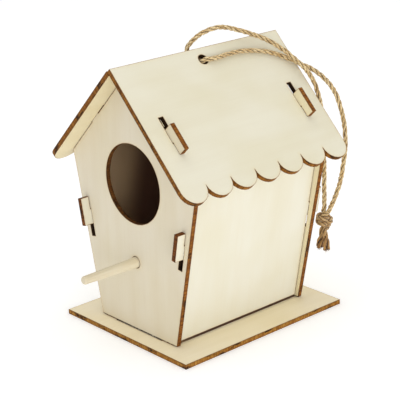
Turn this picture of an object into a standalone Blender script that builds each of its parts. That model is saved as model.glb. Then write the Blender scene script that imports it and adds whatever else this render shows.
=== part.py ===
"""A small hanging birdhouse of slot-together plywood, with a peg perch and a jute cord.

Axes: +X to the house's right, +Y to its back, +Z up. The origin is the centre of the
base plate's underside. All lengths are metres.
"""

from math import atan2, cos, pi, radians, sin, tan

import bmesh
import bpy
import numpy as np
from mathutils import Euler, Matrix, Vector

# ---- driving dimensions -------------------------------------------------------------

PLY = 0.003                      # thickness of every plywood panel
GAP = 0.0003                     # clearance between touching pieces

BASE_WIDTH = 0.109
BASE_DEPTH = 0.1275

HOUSE_CENTRE_Y = -0.001          # middle of the walls and roof, front to back
HOUSE_DEPTH = 0.103              # front panel's outer face to back panel's outer face

FOOT_HALF = 0.034                # half width of the front and back panels at the base
EDGE_LEAN = 0.2073               # how far their sides lean out, per metre of height

SIDE_FOOT_X = 0.0313             # side panel's outer face at the base plate's top
SIDE_LEAN = 0.1905               # how far the side panels lean out, per metre of height
SIDE_LIFT = 0.0015               # gap under the side panels
SIDE_HEIGHT = 0.101              # measured along the panel

RIDGE_HEIGHT = 0.1653            # where the two roof slopes would meet
ROOF_PITCH = radians(46.0)
ROOF_DEPTH = 0.129               # front edge to rear edge
RIDGE_SETBACK = 0.0008           # the right roof panel stops this far short of the ridge
EAVE_LINE = 0.0819               # ridge to the notches between the eave's lobes
LOBES = 7
LOBE_STEPS = 12                  # straight pieces in each lobe's half circle

ENTRANCE_RADIUS = 0.024
ENTRANCE_HEIGHT = 0.0945

PERCH_HEIGHT = 0.0464
PERCH_REACH = 0.039              # how far it stands out of the front panel
PERCH_ROOT_RADIUS = 0.0033
PERCH_TIP_RADIUS = 0.0025
PERCH_ROUNDING = 0.0012          # radius of its rounded end

HOOK_LENGTH = 0.0168             # along the slot
HOOK_OVERHANG = 0.0077           # the part that laps over the panel it holds
HOOK_REACH = 0.006               # how far a hook stands out of that panel
ROOF_HOOK_START = 0.0443         # ridge to the upper end of the roof hooks
SIDE_HOOK_START = 0.0578         # base plate's top to the lower end of the side hooks

TAB_HALF = 0.0205                # half width of the front and back panels' bottom tabs

CORD_HOLE_RADIUS = 0.00325
CORD_HOLE_DOWN = 0.0086          # ridge to the middle of the cord hole, along the slope
CORD_DIAMETER = 0.0028

KNOT_CENTRE = (0.0382, 0.0664, 0.0503)
KNOT_RADII = (0.0055, 0.0047, 0.0058)

# ---- worked out from them -----------------------------------------------------------

HALF_PLY = PLY / 2
SIDE_TILT = atan2(SIDE_LEAN, 1.0)
SLOT_LENGTH = HOOK_LENGTH + GAP
NECK_LENGTH = HOOK_LENGTH - HOOK_OVERHANG
APEX = Vector((0.0, RIDGE_HEIGHT))                 # in the plane of the gables, (x, z)
DOWN_SLOPE = Vector((cos(ROOF_PITCH), -sin(ROOF_PITCH)))
OUT_OF_ROOF = Vector((sin(ROOF_PITCH), cos(ROOF_PITCH)))
SIDE_FOOT = Vector((SIDE_FOOT_X, PLY))
UP_SIDE = Vector((sin(SIDE_TILT), cos(SIDE_TILT)))
OUT_OF_SIDE = Vector((cos(SIDE_TILT), -sin(SIDE_TILT)))
FRONT_MID_Y = HOUSE_CENTRE_Y - HOUSE_DEPTH / 2 + HALF_PLY
BACK_MID_Y = HOUSE_CENTRE_Y + HOUSE_DEPTH / 2 - HALF_PLY
# the left roof panel ends square under the right one, so its inner corner comes nearest
LEFT_ROOF_TOP = (PLY + GAP - PLY * cos(2 * ROOF_PITCH)) / sin(2 * ROOF_PITCH)

# ---- the cord's route, in millimetres -----------------------------------------------
# Both runs start side by side under the ridge, come out through the roof's holes, lie
# over the right slope and go down behind the house to the knot.

CORD_START_SPACING = 0.002       # where the cord bends through its hole
CORD_SPACING = 0.0072
CORD_TIGHT_STRETCH = 0.024

RIGHT_RUN = [
    (0.4, -2.1, 155.3), (2.2, -2.1, 155.7), (4.0, -2.0, 156.9), (5.7, -1.3, 158.3),
    (7.6, 0.7, 159.3), (8.8, 3.5, 159.2), (8.9, 7.5, 159.0), (8.6, 13.0, 159.3),
    (8.4, 20.0, 159.5), (8.7, 28.5, 159.2), (9.8, 37.5, 158.0), (11.5, 44.9, 156.3),
    (13.8, 51.7, 153.8), (16.4, 57.2, 151.0), (19.3, 62.0, 148.2), (21.6, 64.8, 146.2),
    (24.6, 67.0, 144.9), (30.4, 68.3, 142.5), (37.2, 68.6, 139.1), (44.0, 68.6, 133.6),
    (48.9, 68.5, 125.6), (51.6, 68.4, 118.7), (53.2, 68.3, 111.5), (54.0, 68.2, 103.1),
    (53.0, 68.0, 92.2), (50.7, 67.5, 78.6), (46.9, 67.0, 67.4), (42.1, 66.5, 57.2),
]
LEFT_RUN = [
    (-0.4, -2.1, 155.3), (-2.2, -2.1, 155.7), (-4.0, -2.0, 156.9), (-6.1, -1.9, 158.9),
    (-7.7, -1.6, 160.8), (-8.6, -0.4, 163.1), (-8.0, 2.7, 166.6), (-5.3, 7.7, 170.9),
    (-2.2, 13.8, 173.3), (-0.5, 19.7, 173.5), (1.0, 27.0, 171.7), (3.2, 33.8, 169.2),
    (5.8, 40.0, 166.5), (9.0, 46.3, 163.3), (12.9, 52.1, 159.1), (16.9, 55.7, 155.4),
    (21.6, 58.7, 150.8), (26.2, 62.4, 145.3), (28.8, 65.2, 139.8), (30.8, 66.1, 135.8),
    (32.4, 66.3, 132.0), (34.0, 66.4, 128.2), (36.2, 66.5, 117.0), (37.6, 66.5, 105.0),
    (38.2, 66.5, 93.0), (38.4, 66.5, 81.0), (38.5, 66.5, 68.0), (38.5, 66.5, 57.2),
]
LEFT_TAIL = [(36.1, 67.5, 44.4), (35.4, 67.6, 41.5), (34.4, 67.6, 36.0), (33.5, 67.6, 31.0)]
RIGHT_TAIL = [(39.9, 65.3, 44.4), (40.6, 65.2, 41.3), (41.2, 65.2, 37.0), (41.6, 65.2, 32.2)]


# ---- tools --------------------------------------------------------------------------

def empty_scene():
    for thing in list(bpy.data.objects):
        bpy.data.objects.remove(thing, do_unlink=True)


def linear(red, green, blue):
    """The shader's linear colour for a colour given as ordinary 0 to 255 values."""
    return tuple(pow(value / 255.0, 2.2) for value in (red, green, blue)) + (1.0,)


def material(name, colour, roughness):
    made = bpy.data.materials.new(name)
    made.use_nodes = True
    shader = made.node_tree.nodes["Principled BSDF"]
    shader.inputs["Base Color"].default_value = linear(*colour)
    shader.inputs["Roughness"].default_value = roughness
    shader.inputs["Metallic"].default_value = 0.0
    made.diffuse_color = linear(*colour)
    return made


def circle(centre, radius, steps):
    """Points of a circle in a flat outline's plane."""
    turns = [2 * pi * step / steps for step in range(steps)]
    return [(centre[0] + radius * cos(turn), centre[1] + radius * sin(turn)) for turn in turns]


def plate(name, outline, holes, finish, collection):
    """A panel cut from plywood: a flat outline with holes, PLY thick about its own plane."""
    curve = bpy.data.curves.new(name, "CURVE")
    curve.dimensions = "2D"
    curve.fill_mode = "BOTH"
    curve.extrude = HALF_PLY
    curve.resolution_u = 1
    for loop in [outline, *holes]:
        spline = curve.splines.new("POLY")
        spline.points.add(len(loop) - 1)
        for point, (across, up) in zip(spline.points, loop):
            point.co = (across, up, 0.0, 1.0)
        spline.use_cyclic_u = True
    curve.materials.append(finish)
    made = bpy.data.objects.new(name, curve)
    collection.objects.link(made)
    return made


def smooth_route(route, start_spacing, spacing, tight):
    """Points along the natural cubic spline through a route given in millimetres."""
    given = np.array(route, dtype=float) / 1000.0
    count = len(given)
    knots = np.r_[0.0, np.cumsum(np.linalg.norm(np.diff(given, axis=0), axis=1))]
    step = np.diff(knots)
    system = np.eye(count)
    right_side = np.zeros((count, 3))
    for row in range(1, count - 1):
        system[row, row - 1] = step[row - 1]
        system[row, row] = 2 * (step[row - 1] + step[row])
        system[row, row + 1] = step[row]
        after = (given[row + 1] - given[row]) / step[row]
        before = (given[row] - given[row - 1]) / step[row - 1]
        right_side[row] = 6 * (after - before)
    bend = np.linalg.solve(system, right_side)

    def at(place):
        piece = min(max(int(np.searchsorted(knots, place)) - 1, 0), count - 2)
        a = (knots[piece + 1] - place) / step[piece]
        b = 1.0 - a
        curved = (a**3 - a) * bend[piece] + (b**3 - b) * bend[piece + 1]
        return a * given[piece] + b * given[piece + 1] + curved * step[piece] ** 2 / 6

    tight = min(tight, knots[-1])
    first = np.linspace(0.0, tight, max(2, round(tight / start_spacing) + 1))
    rest = np.linspace(tight, knots[-1], max(2, round((knots[-1] - tight) / spacing) + 1))
    places = list(first) + list(rest[1:] if knots[-1] > tight else [])
    return [at(place) for place in places]


def cord(name, route, tight, finish, collection):
    """A plain round cord along a smooth route."""
    curve = bpy.data.curves.new(name, "CURVE")
    curve.dimensions = "3D"
    curve.fill_mode = "FULL"
    curve.bevel_depth = CORD_DIAMETER / 2
    curve.bevel_resolution = 2
    curve.use_fill_caps = True
    places = smooth_route(route, CORD_START_SPACING, CORD_SPACING, tight)
    spline = curve.splines.new("POLY")
    spline.points.add(len(places) - 1)
    for point, place in zip(spline.points, places):
        point.co = (*place, 1.0)
    spline.use_smooth = True
    curve.materials.append(finish)
    made = bpy.data.objects.new(name, curve)
    collection.objects.link(made)
    return made


# ---- outlines -----------------------------------------------------------------------

def roof_point(down, out):
    """A point of the right gable, (x, z), from its distance down and out of the roof."""
    return APEX + DOWN_SLOPE * down + OUT_OF_ROOF * out


def side_point(up, out):
    """A point in the gables' plane, (x, z), from its distance up and out of the side."""
    return SIDE_FOOT + UP_SIDE * up + OUT_OF_SIDE * out


def gable_outline():
    """Front and back panels: leaning sides, a pitched top with hooks, a tab below."""
    foot = PLY + GAP
    under_roof = -PLY - GAP
    hook_end = ROOF_HOOK_START + HOOK_LENGTH
    neck_end = ROOF_HOOK_START + NECK_LENGTH
    # the side line x = FOOT_HALF + EDGE_LEAN (z - PLY) meets the line under the roof
    top = RIDGE_HEIGHT + under_roof / cos(ROOF_PITCH)
    shoulder_x = (FOOT_HALF + EDGE_LEAN * (top - PLY)) / (1 + EDGE_LEAN * tan(ROOF_PITCH))
    half = [
        (TAB_HALF, GAP),
        (TAB_HALF, foot),
        (FOOT_HALF + EDGE_LEAN * GAP, foot),
        (shoulder_x, top - shoulder_x * tan(ROOF_PITCH)),
        tuple(roof_point(neck_end, under_roof)),
        tuple(roof_point(neck_end, GAP)),
        tuple(roof_point(hook_end, GAP)),
        tuple(roof_point(hook_end, HOOK_REACH)),
        tuple(roof_point(ROOF_HOOK_START, HOOK_REACH)),
        tuple(roof_point(ROOF_HOOK_START, under_roof)),
    ]
    mirrored = [(-x, z) for x, z in reversed(half)]
    return half + [(0.0, top)] + mirrored


def gable_side_slots():
    """The slanted slots that the side panels' hooks pass through, right then left."""
    slot_top = SIDE_HOOK_START + NECK_LENGTH + GAP
    slot_bottom = slot_top - SLOT_LENGTH
    right = [
        tuple(side_point(slot_bottom, GAP)),
        tuple(side_point(slot_top, GAP)),
        tuple(side_point(slot_top, -PLY - GAP)),
        tuple(side_point(slot_bottom, -PLY - GAP)),
    ]
    return [right, [(-x, z) for x, z in right]]


def side_outline():
    """A side panel, (y from its middle, distance up the panel), with a hook each end."""
    wall = HOUSE_DEPTH / 2 - PLY - GAP
    neck = HOUSE_DEPTH / 2 + GAP
    reach = HOUSE_DEPTH / 2 + HOOK_REACH
    bottom = SIDE_LIFT / cos(SIDE_TILT)
    hook_top = SIDE_HOOK_START + HOOK_LENGTH
    neck_top = SIDE_HOOK_START + NECK_LENGTH
    rear = [
        (wall, bottom),
        (wall, SIDE_HOOK_START),
        (reach, SIDE_HOOK_START),
        (reach, hook_top),
        (neck, hook_top),
        (neck, neck_top),
        (wall, neck_top),
        (wall, bottom + SIDE_HEIGHT),
    ]
    return rear + [(-y, up) for y, up in reversed(rear)]


def roof_outline(top_end):
    """A roof panel, (distance down the slope, y from its middle), with a scalloped eave."""
    radius = ROOF_DEPTH / LOBES / 2
    outline = [(top_end, -ROOF_DEPTH / 2)]
    for lobe in range(LOBES):
        middle = -ROOF_DEPTH / 2 + radius * (2 * lobe + 1)
        first = 0 if lobe == 0 else 1          # the notch is the last lobe's end point
        for step in range(first, LOBE_STEPS + 1):
            turn = pi * step / LOBE_STEPS
            outline.append((EAVE_LINE + radius * sin(turn), middle - radius * cos(turn)))
    outline.append((top_end, ROOF_DEPTH / 2))
    return outline


def roof_holes():
    """Two slots for the gables' hooks and the round hole for the cord."""
    lower = ROOF_HOOK_START + NECK_LENGTH + GAP
    upper = lower - SLOT_LENGTH
    half_width = HALF_PLY + GAP
    holes = [circle((CORD_HOLE_DOWN, 0.0), CORD_HOLE_RADIUS, 24)]
    for middle in (FRONT_MID_Y - HOUSE_CENTRE_Y, BACK_MID_Y - HOUSE_CENTRE_Y):
        holes.append([
            (upper, middle - half_width), (lower, middle - half_width),
            (lower, middle + half_width), (upper, middle + half_width),
        ])
    return holes


# ---- pieces -------------------------------------------------------------------------

def base_plate(finish, collection):
    half_x, half_y = BASE_WIDTH / 2, BASE_DEPTH / 2
    outline = [(-half_x, -half_y), (half_x, -half_y), (half_x, half_y), (-half_x, half_y)]
    slots = []
    for middle in (FRONT_MID_Y, BACK_MID_Y):
        slot_x, slot_y = TAB_HALF + GAP, HALF_PLY + GAP
        slots.append([
            (-slot_x, middle - slot_y), (slot_x, middle - slot_y),
            (slot_x, middle + slot_y), (-slot_x, middle + slot_y),
        ])
    made = plate("base_plate", outline, slots, finish, collection)
    made.location = (0.0, 0.0, HALF_PLY)


def gable_panels(finish, collection):
    """The front panel has the entrance and the perch's hole; the back one is plain."""
    entrance = circle((0.0, ENTRANCE_HEIGHT), ENTRANCE_RADIUS, 64)
    perch_hole = circle((0.0, PERCH_HEIGHT), PERCH_ROOT_RADIUS + GAP, 24)
    upright = Euler((pi / 2, 0.0, 0.0))
    for name, middle_y, extra in (
        ("front_panel", FRONT_MID_Y, [entrance, perch_hole]),
        ("back_panel", BACK_MID_Y, []),
    ):
        holes = gable_side_slots() + extra
        made = plate(name, gable_outline(), holes, finish, collection)
        made.rotation_euler = upright
        made.location = (0.0, middle_y, 0.0)


def side_panels(finish, collection):
    """The left panel is the right one turned half a turn about the house's middle."""
    across = Vector((0.0, 1.0, 0.0))
    up = Vector((UP_SIDE.x, 0.0, UP_SIDE.y))
    out = Vector((OUT_OF_SIDE.x, 0.0, OUT_OF_SIDE.y))
    stand = Matrix((across, up, out)).transposed()
    middle = SIDE_FOOT - OUT_OF_SIDE * HALF_PLY
    for name, turn in (("right_side_panel", 0.0), ("left_side_panel", pi)):
        made = plate(name, side_outline(), [], finish, collection)
        facing = Matrix.Rotation(turn, 3, "Z")
        made.rotation_euler = (facing @ stand).to_euler()
        foot = facing @ Vector((middle.x, 0.0, middle.y))
        made.location = foot + Vector((0.0, HOUSE_CENTRE_Y, 0.0))


def roof_panels(finish, collection):
    """Each panel hangs on an empty at the ridge and slides down its own slope."""
    for name, top_end, turn in (
        ("right_roof_panel", RIDGE_SETBACK, 0.0),
        ("left_roof_panel", LEFT_ROOF_TOP, pi),
    ):
        ridge = bpy.data.objects.new(name + "_ridge", None)
        collection.objects.link(ridge)
        ridge.location = (0.0, HOUSE_CENTRE_Y, RIDGE_HEIGHT)
        ridge.rotation_euler = (0.0, ROOF_PITCH, turn)
        made = plate(name, roof_outline(top_end), roof_holes(), finish, collection)
        made.parent = ridge
        made.location = (0.0, 0.0, -HALF_PLY)


def perch(finish, collection):
    """A tapered turned peg with a rounded end, pushed into the front panel."""
    tip = PERCH_REACH
    profile = [(0.0, tip)]
    for step in range(5):
        turn = pi / 2 * (1 - step / 4)
        profile.append((
            PERCH_TIP_RADIUS - PERCH_ROUNDING + PERCH_ROUNDING * cos(turn),
            tip - PERCH_ROUNDING + PERCH_ROUNDING * sin(turn),
        ))
    profile += [
        (PERCH_ROOT_RADIUS, 0.0),
        (PERCH_ROOT_RADIUS, -PLY - GAP),
        (0.0, -PLY - GAP),
    ]
    mesh = bpy.data.meshes.new("perch")
    shape = bmesh.new()
    corners = [shape.verts.new((radius, 0.0, height)) for radius, height in profile]
    for one, other in zip(corners, corners[1:]):
        shape.edges.new((one, other))
    shape.to_mesh(mesh)
    shape.free()
    mesh.materials.append(finish)
    made = bpy.data.objects.new("perch", mesh)
    collection.objects.link(made)
    turned = made.modifiers.new("turned", "SCREW")
    turned.axis = "Z"
    turned.angle = 2 * pi
    turned.steps = turned.render_steps = 24
    turned.use_merge_vertices = True
    turned.merge_threshold = 0.00001
    turned.use_smooth_shade = True
    made.rotation_euler = (pi / 2, 0.0, 0.0)
    made.location = (0.0, FRONT_MID_Y - HALF_PLY, PERCH_HEIGHT)


def knot(finish, collection):
    """The outer shape of the overhand knot that closes the loop."""
    mesh = bpy.data.meshes.new("cord_knot")
    shape = bmesh.new()
    bmesh.ops.create_uvsphere(shape, u_segments=16, v_segments=10, radius=1.0)
    bmesh.ops.scale(shape, vec=KNOT_RADII, verts=shape.verts)
    shape.to_mesh(mesh)
    shape.free()
    mesh.shade_smooth()
    mesh.materials.append(finish)
    made = bpy.data.objects.new("cord_knot", mesh)
    collection.objects.link(made)
    made.location = KNOT_CENTRE


def build():
    empty_scene()
    house = bpy.data.collections.new("birdhouse")
    bpy.context.scene.collection.children.link(house)

    base_wood = material("base plywood", (220, 208, 176), 0.62)
    wall_wood = material("wall plywood", (224, 214, 190), 0.60)
    side_wood = material("side plywood", (240, 234, 216), 0.60)
    roof_wood = material("roof plywood", (235, 229, 210), 0.60)
    peg_wood = material("peg wood", (232, 218, 184), 0.55)
    jute = material("jute", (176, 140, 88), 0.92)

    base_plate(base_wood, house)
    gable_panels(wall_wood, house)
    side_panels(side_wood, house)
    roof_panels(roof_wood, house)
    perch(peg_wood, house)
    cord("cord_right_run", RIGHT_RUN, CORD_TIGHT_STRETCH, jute, house)
    cord("cord_left_run", LEFT_RUN, CORD_TIGHT_STRETCH, jute, house)
    knot(jute, house)
    cord("cord_left_tail", LEFT_TAIL, 0.0, jute, house)
    cord("cord_right_tail", RIGHT_TAIL, 0.0, jute, house)


build()
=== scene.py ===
"""Looks for a slot-together plywood birdhouse: laser-cut boards, a peg perch, a jute cord.

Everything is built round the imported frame, in its metres and its axes: +X to the house's
right, +Y to its back, +Z up, with the floor at the base plate's underside.
"""

from math import ceil, cos, pi, radians, sin

import bmesh
import bpy
import numpy as np
from mathutils import Euler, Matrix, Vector
from mathutils.geometry import delaunay_2d_cdt


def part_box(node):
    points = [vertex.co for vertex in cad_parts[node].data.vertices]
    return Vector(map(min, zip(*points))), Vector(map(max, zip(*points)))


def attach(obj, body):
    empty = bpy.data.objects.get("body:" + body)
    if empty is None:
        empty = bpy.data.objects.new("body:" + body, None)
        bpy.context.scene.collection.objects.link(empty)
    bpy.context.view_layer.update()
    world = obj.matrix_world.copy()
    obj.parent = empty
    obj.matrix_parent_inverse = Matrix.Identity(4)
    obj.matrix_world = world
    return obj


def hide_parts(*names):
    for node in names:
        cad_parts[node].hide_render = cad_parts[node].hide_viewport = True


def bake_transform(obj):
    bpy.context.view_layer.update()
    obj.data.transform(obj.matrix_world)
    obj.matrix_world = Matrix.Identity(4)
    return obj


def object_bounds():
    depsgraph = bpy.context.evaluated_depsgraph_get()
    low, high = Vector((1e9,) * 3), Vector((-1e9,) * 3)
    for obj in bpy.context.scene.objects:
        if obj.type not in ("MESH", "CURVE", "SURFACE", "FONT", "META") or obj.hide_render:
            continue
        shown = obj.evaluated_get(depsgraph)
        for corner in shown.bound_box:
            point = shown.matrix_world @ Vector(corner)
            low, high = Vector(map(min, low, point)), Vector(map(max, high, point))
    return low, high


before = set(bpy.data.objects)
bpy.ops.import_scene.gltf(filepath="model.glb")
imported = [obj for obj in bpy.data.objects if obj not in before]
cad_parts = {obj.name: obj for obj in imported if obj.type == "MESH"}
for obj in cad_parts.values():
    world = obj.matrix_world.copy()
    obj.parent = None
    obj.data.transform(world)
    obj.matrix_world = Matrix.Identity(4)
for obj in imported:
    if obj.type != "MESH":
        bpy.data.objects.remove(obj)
CAD_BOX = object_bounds()

MM = 0.001

# ---- camera -------------------------------------------------------------------------

CAMERA_PLACE = (0.58114, -0.51677, 0.34882)
CAMERA_TURN = (70.357, 1.552, 47.870)      # degrees about X, Y and Z
CAMERA_LENS = 123.63                       # mm, for a sensor 36 mm wide

# ---- cord, in millimetres -----------------------------------------------------------

CORD_DIAMETER = 2.8
CORD_STEP = 0.45                           # between points along a run
PLIES = 3
PLY_RADIUS = 0.74
PLY_OFFSET = 0.72
PLY_SIDES = 12
TWIST_PITCH = 12.6
YARNS = 4                                  # lobes round each ply
YARN_DEPTH = 0.10
YARN_PITCH = 7.0
FRAY_LENGTH = 14.0                         # how much of each tail has opened up
UNLAID = 0.85                              # how far the twist is undone at the cut end
FRAY_SPREAD = 0.9                          # how much further apart the plies are there
FRAY_SWELL = 0.45                          # and how much thicker
CUT_DEPTH = 0.8                            # the dark stretch at the cut
KNOT_SOIL = 0.5                            # how soiled the knot is, where 1 is a tail's end
SOIL_FADE = 5.0                            # over this length the soil starts

RIGHT_RUN = [
    (0.4, -2.1, 155.3), (2.2, -2.1, 155.7), (4.0, -2.0, 156.9), (5.7, -1.3, 158.3),
    (7.6, 0.7, 159.3), (8.8, 3.5, 159.2), (8.9, 7.5, 159.0), (8.6, 13.0, 159.3),
    (8.4, 20.0, 159.5), (8.7, 28.5, 159.2), (9.8, 37.5, 158.0), (11.5, 44.9, 156.3),
    (13.8, 51.7, 153.8), (16.4, 57.2, 151.0), (19.3, 62.0, 148.2), (21.6, 64.8, 146.2),
    (24.6, 67.0, 144.9), (30.4, 68.3, 142.5), (37.2, 68.6, 139.1), (44.0, 68.6, 133.6),
    (48.9, 68.5, 125.6), (51.6, 68.4, 118.7), (53.2, 68.3, 111.5), (54.0, 68.2, 103.1),
    (53.0, 68.0, 92.2), (50.7, 67.5, 78.6), (46.9, 67.0, 67.4), (42.1, 66.5, 57.2),
]
LEFT_RUN = [
    (-0.4, -2.1, 155.3), (-2.2, -2.1, 155.7), (-4.0, -2.0, 156.9), (-6.1, -1.9, 158.9),
    (-7.7, -1.6, 160.8), (-8.6, -0.4, 163.1), (-8.0, 2.7, 166.6), (-5.3, 7.7, 170.9),
    (-2.2, 13.8, 173.3), (-0.5, 19.7, 173.5), (1.0, 27.0, 171.7), (3.2, 33.8, 169.2),
    (5.8, 40.0, 166.5), (9.0, 46.3, 163.3), (12.9, 52.1, 159.1), (16.9, 55.7, 155.4),
    (21.6, 58.7, 150.8), (26.2, 62.4, 145.3), (28.8, 65.2, 139.8), (30.8, 66.1, 135.8),
    (32.4, 66.3, 132.0), (34.0, 66.4, 128.2), (36.2, 66.5, 117.0), (37.6, 66.5, 105.0),
    (38.2, 66.5, 93.0), (38.4, 66.5, 81.0), (38.5, 66.5, 68.0), (38.5, 66.5, 57.2),
]
LEFT_TAIL = [(36.1, 67.5, 44.4), (35.4, 67.6, 41.5), (34.4, 67.6, 36.0), (33.5, 67.6, 31.0)]
RIGHT_TAIL = [(39.9, 65.3, 44.4), (40.6, 65.2, 41.3), (41.2, 65.2, 37.0), (41.6, 65.2, 32.2)]


# ---- node helpers -------------------------------------------------------------------

def linear(red, green, blue):
    """The shader's linear colour for a colour given as ordinary 0 to 255 values."""
    shares = [value / 255.0 for value in (red, green, blue)]
    curved = [s / 12.92 if s <= 0.04045 else ((s + 0.055) / 1.055) ** 2.4 for s in shares]
    return tuple(curved) + (1.0,)


def node(tree, kind, inputs=None, **settings):
    """A shader node with its settings and inputs; an input that is a socket is linked."""
    made = tree.nodes.new("ShaderNode" + kind)
    for name, value in settings.items():
        setattr(made, name, value)
    for name, value in (inputs or {}).items():
        if isinstance(value, bpy.types.NodeSocket):
            tree.links.new(value, made.inputs[name])
        else:
            made.inputs[name].default_value = value
    return made


def new_material(name, roughness):
    """A material, its node tree and its Principled shader."""
    made = bpy.data.materials.new(name)
    made.use_nodes = True
    shader = made.node_tree.nodes["Principled BSDF"]
    shader.inputs["Roughness"].default_value = roughness
    return made, made.node_tree, shader


def attribute(tree, name, output="Vector"):
    return node(tree, "Attribute", attribute_name=name).outputs[output]


def stretched_noise(tree, where, scales, detail=3.0, roughness=0.55, shift=0.0):
    """Noise from 0 to 1, with its own scale along each axis of where."""
    moved = node(tree, "Mapping", {
        "Vector": where, "Scale": scales, "Location": (shift, shift * 0.7, shift * 1.3),
    })
    made = node(tree, "TexNoise", {
        "Vector": moved.outputs["Vector"], "Scale": 1.0, "Detail": detail,
        "Roughness": roughness,
    })
    return made.outputs["Fac"]


def ranged(tree, value, low, high, to_low=0.0, to_high=1.0, smooth=True):
    """Value mapped from low..high onto to_low..to_high, and held at the ends."""
    made = node(tree, "MapRange", {
        "Value": value, "From Min": low, "From Max": high,
        "To Min": to_low, "To Max": to_high,
    }, interpolation_type="SMOOTHSTEP" if smooth else "LINEAR")
    return made.outputs["Result"]


def arithmetic(tree, operation, first, second):
    return node(tree, "Math", {0: first, 1: second}, operation=operation).outputs[0]


def mixed(tree, share, first, second, blend="MIX"):
    """Two colours mixed; each may be a colour or a socket."""
    made = node(tree, "Mix", {0: share, 6: first, 7: second},
                data_type="RGBA", blend_type=blend)
    return made.outputs[2]


def bumped(tree, shader, height, distance, strength=1.0):
    made = node(tree, "Bump", {
        "Height": height, "Distance": distance, "Strength": strength,
    })
    tree.links.new(made.outputs["Normal"], shader.inputs["Normal"])


# ---- object helpers -----------------------------------------------------------------

def point_values(mesh, name, values):
    """An attribute of the mesh's points: a number or a vector for each."""
    values = np.asarray(values, dtype=np.float32)
    if values.ndim == 1:
        made = mesh.attributes.new(name, "FLOAT", "POINT")
        made.data.foreach_set("value", values)
    else:
        made = mesh.attributes.new(name, "FLOAT_VECTOR", "POINT")
        made.data.foreach_set("vector", values.ravel())


def in_scene(name, data, place=(0.0, 0.0, 0.0), turn=(0.0, 0.0, 0.0)):
    """An object that shows data in the scene."""
    made = bpy.data.objects.new(name, data)
    made.location = place
    made.rotation_euler = turn
    bpy.context.scene.collection.objects.link(made)
    return made


# ---- materials ----------------------------------------------------------------------

SCORCH = linear(146, 92, 26)
# dark brown: soot on the cut edges, and the painted shade at the walls' feet
SOOT_AND_SHADE = linear(44, 24, 8)
KHAKI = linear(240, 234, 208)
PORE = linear(196, 172, 128)
BASE_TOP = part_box("base_plate")[1].z
SHADE_WAY = (0.0, 1.0, -0.35)              # indoors, the painted shade gets darker this way
SHADE_LIGHTEST, SHADE_DARKEST = -0.054, -0.034   # how far along it the painted shade starts and is darkest


def broad_normal(source, outward):
    """The direction that most of the node's area looks along, turned to face outward."""
    normals = np.array([p.normal for p in source.data.polygons])
    areas = np.array([p.area for p in source.data.polygons])
    alike = abs(normals @ normals.T) > 0.999
    best = normals[int(np.argmax(alike @ areas))]
    return Vector(best if best @ np.array(outward) > 0 else -best).normalized()


def inner_planes():
    """The inner face of each wall and roof panel: the way out, and how far out it lies."""
    planes = []
    for cad_node, outward in (
        ("front_panel", (0, -1, 0)), ("back_panel", (0, 1, 0)),
        ("right_side_panel", (1, 0, 0)), ("left_side_panel", (-1, 0, 0)),
        ("right_roof_panel", (1, 0, 1)), ("left_roof_panel", (-1, 0, 1)),
    ):
        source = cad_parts[cad_node]
        out = broad_normal(source, outward)
        planes.append((out, min(v.co.dot(out) for v in source.data.vertices)))
    return planes


INNER_PLANES = inner_planes()


def indoors(tree, place, reach):
    """1 inside the house and 0 outside it; reach is how far past an inner face counts."""
    within = None
    for out, level in INNER_PLANES:
        far = node(tree, "VectorMath", {0: place, 1: tuple(out)}, operation="DOT_PRODUCT")
        inner = arithmetic(tree, "LESS_THAN", far.outputs["Value"], level + reach)
        within = inner if within is None else arithmetic(tree, "MULTIPLY", within, inner)
    return within


def painted_indoor_shade(tree, place):
    """Painted shade inside the house: darker towards the back and down, lightest up by the front
    gable.
    """
    spread = node(tree, "VectorMath", {0: place, 1: SHADE_WAY}, operation="DOT_PRODUCT")
    share = ranged(tree, spread.outputs["Value"], SHADE_LIGHTEST, SHADE_DARKEST)
    return mixed(tree, share, linear(240, 212, 184), linear(150, 116, 106))


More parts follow.
